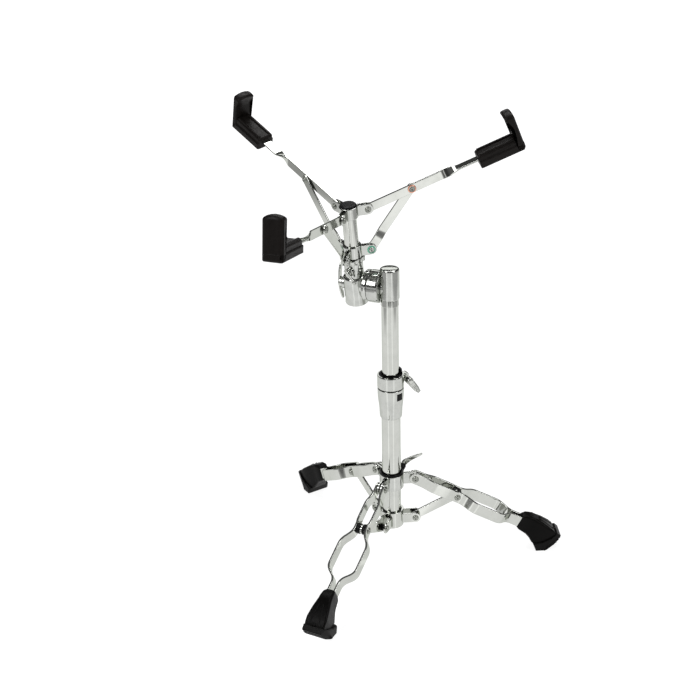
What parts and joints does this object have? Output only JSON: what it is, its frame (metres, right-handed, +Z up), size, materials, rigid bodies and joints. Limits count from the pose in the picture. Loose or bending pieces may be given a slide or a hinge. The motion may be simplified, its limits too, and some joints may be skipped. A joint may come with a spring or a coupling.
{
  "type": "drum basket stand",
  "caption": "Double-braced chrome tripod stand with a telescoping tube, hinged tilter and folding basket whose rubber cradles hold a drum.",
  "frame": {"origin": "middle of the bounding box on the floor, under the rubber feet", "axes": "+Z up along the tubes, +X towards the right leg and the right basket arm, -Y towards the front leg"},
  "size_m": [0.442, 0.4214, 0.6214],
  "materials": {
    "chrome_steel": "bright plated steel strip and tube",
    "cast_chrome": "plated die casting, slightly soft polish",
    "black_rubber": "semi-matte moulded rubber",
    "black_nylon": "satin moulded nylon"
  },
  "bodies": {
    "base": {"base_tube": "chrome_steel", "tube_end_plug": "black_nylon", "lower_collar": "chrome_steel", "clamp_sleeve": "cast_chrome", "clamp_ring": "cast_chrome", "clamp_bolt": "chrome_steel", "brace_rivet_right": "chrome_steel", "brace_rivet_rear": "chrome_steel", "brace_rivet_front": "chrome_steel"},
    "leg_collar": {"upper_collar": "chrome_steel", "collar_bush": "black_nylon", "hip_rivet_right": "chrome_steel", "hip_rivet_rear": "chrome_steel", "hip_rivet_front": "chrome_steel"},
    "collar_screw": {"collar_wing_bolt": "cast_chrome"},
    "clamp_nut": {"clamp_wing_nut": "cast_chrome"},
    "clamp_swivel": {"clamp_liner": "black_nylon"},
    "height_tube": {"upper_tube": "chrome_steel", "tilter_head": "cast_chrome", "tilt_disc": "cast_chrome", "tilt_bolt": "chrome_steel"},
    "tilt_nut": {"tilt_wing_nut": "cast_chrome"},
    "tilt_holder": {"tilt_cup": "cast_chrome"},
    "swivel_lock": {"swivel_screw": "cast_chrome"},
    "basket": {"basket_post": "chrome_steel", "upper_hub": "chrome_steel", "post_cap": "black_nylon", "hub_rivet_right": "chrome_steel", "hub_rivet_rear": "chrome_steel", "hub_rivet_front": "chrome_steel"},
    "sliding_hub": {"lower_hub": "chrome_steel"},
    "grip_nut": {"adjust_nut": "chrome_steel"},
    "leg_right": {"leg_right_strap_left": "chrome_steel", "leg_right_strap_right": "chrome_steel", "foot_right": "black_rubber"},
    "brace_link_right": {"brace_right": "chrome_steel", "brace_bush_right": "black_nylon", "knee_bush_right": "black_nylon"},
    "basket_arm_right": {"arm_right": "chrome_steel", "cradle_right": "black_rubber"},
    "basket_strut_right": {"strut_right": "chrome_steel"},
    "leg_rear": {"leg_rear_strap_left": "chrome_steel", "leg_rear_strap_right": "chrome_steel", "foot_rear": "black_rubber"},
    "brace_link_rear": {"brace_rear": "chrome_steel", "brace_bush_rear": "black_nylon", "knee_bush_rear": "black_nylon"},
    "basket_arm_rear": {"arm_rear": "chrome_steel", "cradle_rear": "black_rubber"},
    "basket_strut_rear": {"strut_rear": "chrome_steel"},
    "leg_front": {"leg_front_strap_left": "chrome_steel", "leg_front_strap_right": "chrome_steel", "foot_front": "black_rubber"},
    "brace_link_front": {"brace_front": "chrome_steel", "brace_bush_front": "black_nylon", "knee_bush_front": "black_nylon"},
    "basket_arm_front": {"arm_front": "chrome_steel", "cradle_front": "black_rubber"},
    "basket_strut_front": {"strut_front": "chrome_steel"}
  },
  "joints": [
    {"name": "leg_collar_slide", "type": "slide", "parent": "base", "child": "leg_collar", "axis": [0, 0, 1], "range_m": [-0.012, 0.06753]},
    {"name": "collar_screw_turn", "type": "hinge", "parent": "leg_collar", "child": "collar_screw", "pos_m": [-0.0066, 0.01948, 0.1155], "axis": [0.464, 0.6627, 0.5878], "continuous": true},
    {"name": "clamp_nut_turn", "type": "hinge", "parent": "base", "child": "clamp_nut", "pos_m": [0.00588, 0.01813, 0.266], "axis": [-0.4226, 0.9063, 0], "range_deg": [-130, 30]},
    {"name": "height_tube_swivel", "type": "hinge", "parent": "base", "child": "clamp_swivel", "pos_m": [-0.01406, 0.00883, 0.266], "axis": [0, 0, 1], "continuous": true},
    {"name": "height_slide", "type": "slide", "parent": "clamp_swivel", "child": "height_tube", "axis": [0, 0, 1], "range_m": [-0.092, 0.075]},
    {"name": "basket_tilt", "type": "hinge", "parent": "height_tube", "child": "tilt_holder", "pos_m": [-0.05794, 0.02568, 0.3975], "axis": [0.9336, -0.3584, 0], "range_deg": [-60, 50]},
    {"name": "tilt_nut_turn", "type": "hinge", "parent": "height_tube", "child": "tilt_nut", "pos_m": [-0.07848, 0.03356, 0.3975], "axis": [0.9336, -0.3584, 0], "continuous": true},
    {"name": "swivel_lock_turn", "type": "hinge", "parent": "tilt_holder", "child": "swivel_lock", "pos_m": [-0.06646, 0.00347, 0.41846], "axis": [0.3535, 0.9208, 0.165], "range_deg": [-60, 60]},
    {"name": "basket_swivel", "type": "hinge", "parent": "tilt_holder", "child": "basket", "pos_m": [-0.06164, 0.01603, 0.45924], "axis": [-0.0591, -0.1541, 0.9863], "continuous": true},
    {"name": "sliding_hub_slide", "type": "slide", "parent": "basket", "child": "sliding_hub", "axis": [-0.0591, -0.1541, 0.9863], "range_m": [0, 0.01871]},
    {"name": "grip_nut_turn", "type": "hinge", "parent": "sliding_hub", "child": "grip_nut", "pos_m": [-0.0601, 0.02004, 0.4336], "axis": [-0.0591, -0.1541, 0.9863], "continuous": true},
    {"name": "leg_right_hinge", "type": "hinge", "parent": "leg_collar", "child": "leg_right", "pos_m": [0.01786, 0.01112, 0.118], "axis": [-0.0715, 0.9974, 0], "range_deg": [-9.8, 52.6]},
    {"name": "brace_right_hinge", "type": "hinge", "parent": "base", "child": "brace_link_right", "pos_m": [0.01786, 0.01112, 0.0575], "axis": [-0.0715, 0.9974, 0], "range_deg": [-52.6, 9.8]},
    {"name": "leg_rear_hinge", "type": "hinge", "parent": "leg_collar", "child": "leg_rear", "pos_m": [-0.032, 0.03533, 0.118], "axis": [-0.8281, -0.5606, 0], "range_deg": [-9.8, 52.6]},
    {"name": "brace_rear_hinge", "type": "hinge", "parent": "base", "child": "brace_link_rear", "pos_m": [-0.032, 0.03533, 0.0575], "axis": [-0.8281, -0.5606, 0], "range_deg": [-52.6, 9.8]},
    {"name": "leg_front_hinge", "type": "hinge", "parent": "leg_collar", "child": "leg_front", "pos_m": [-0.02804, -0.01995, 0.118], "axis": [0.8996, -0.4368, 0], "range_deg": [-9.8, 52.6]},
    {"name": "brace_front_hinge", "type": "hinge", "parent": "base", "child": "brace_link_front", "pos_m": [-0.02804, -0.01995, 0.0575], "axis": [0.8996, -0.4368, 0], "range_deg": [-52.6, 9.8]},
    {"name": "arm_right_hinge", "type": "hinge", "parent": "basket", "child": "basket_arm_right", "pos_m": [-0.04055, 0.01374, 0.50243], "axis": [0.183, -0.9729, -0.141], "range_deg": [0, 38]},
    {"name": "strut_right_hinge", "type": "hinge", "parent": "basket_arm_right", "child": "basket_strut_right", "pos_m": [0.01453, 0.02081, 0.52513], "axis": [0.183, -0.9729, -0.141], "range_deg": [-22, 0]},
    {"name": "arm_rear_hinge", "type": "hinge", "parent": "basket", "child": "basket_arm_rear", "pos_m": [-0.07969, 0.02776, 0.50227], "axis": [0.7584, 0.6356, 0.1448], "range_deg": [0, 38.1]},
    {"name": "strut_rear_hinge", "type": "hinge", "parent": "basket_arm_rear", "child": "basket_strut_rear", "pos_m": [-0.1179, 0.06827, 0.5246], "axis": [0.7584, 0.6356, 0.1448], "range_deg": [-22, 0]},
    {"name": "arm_front_hinge", "type": "hinge", "parent": "basket", "child": "basket_arm_front", "pos_m": [-0.07208, -0.01268, 0.49641], "axis": [-0.9414, 0.3374, -0.0037], "range_deg": [0, 38.1]},
    {"name": "strut_front_hinge", "type": "hinge", "parent": "basket_arm_front", "child": "basket_strut_front", "pos_m": [-0.09215, -0.0686, 0.50476], "axis": [-0.9414, 0.3374, -0.0037], "range_deg": [-22, 0]}
  ],
  "couplings": [
    {"joint": "leg_right_hinge", "follows": "leg_collar_slide", "rad_per_m": 13.509},
    {"joint": "brace_right_hinge", "follows": "leg_collar_slide", "rad_per_m": -13.509},
    {"joint": "leg_rear_hinge", "follows": "leg_collar_slide", "rad_per_m": 13.509},
    {"joint": "brace_rear_hinge", "follows": "leg_collar_slide", "rad_per_m": -13.509},
    {"joint": "leg_front_hinge", "follows": "leg_collar_slide", "rad_per_m": 13.509},
    {"joint": "brace_front_hinge", "follows": "leg_collar_slide", "rad_per_m": -13.509},
    {"joint": "strut_right_hinge", "follows": "arm_right_hinge", "ratio": -0.57316},
    {"joint": "arm_rear_hinge", "follows": "arm_right_hinge", "ratio": 1},
    {"joint": "strut_rear_hinge", "follows": "arm_right_hinge", "ratio": -0.57316},
    {"joint": "arm_front_hinge", "follows": "arm_right_hinge", "ratio": 1},
    {"joint": "strut_front_hinge", "follows": "arm_right_hinge", "ratio": -0.57316},
    {"joint": "sliding_hub_slide", "follows": "arm_right_hinge", "m_per_rad": 0.027756}
  ]
}
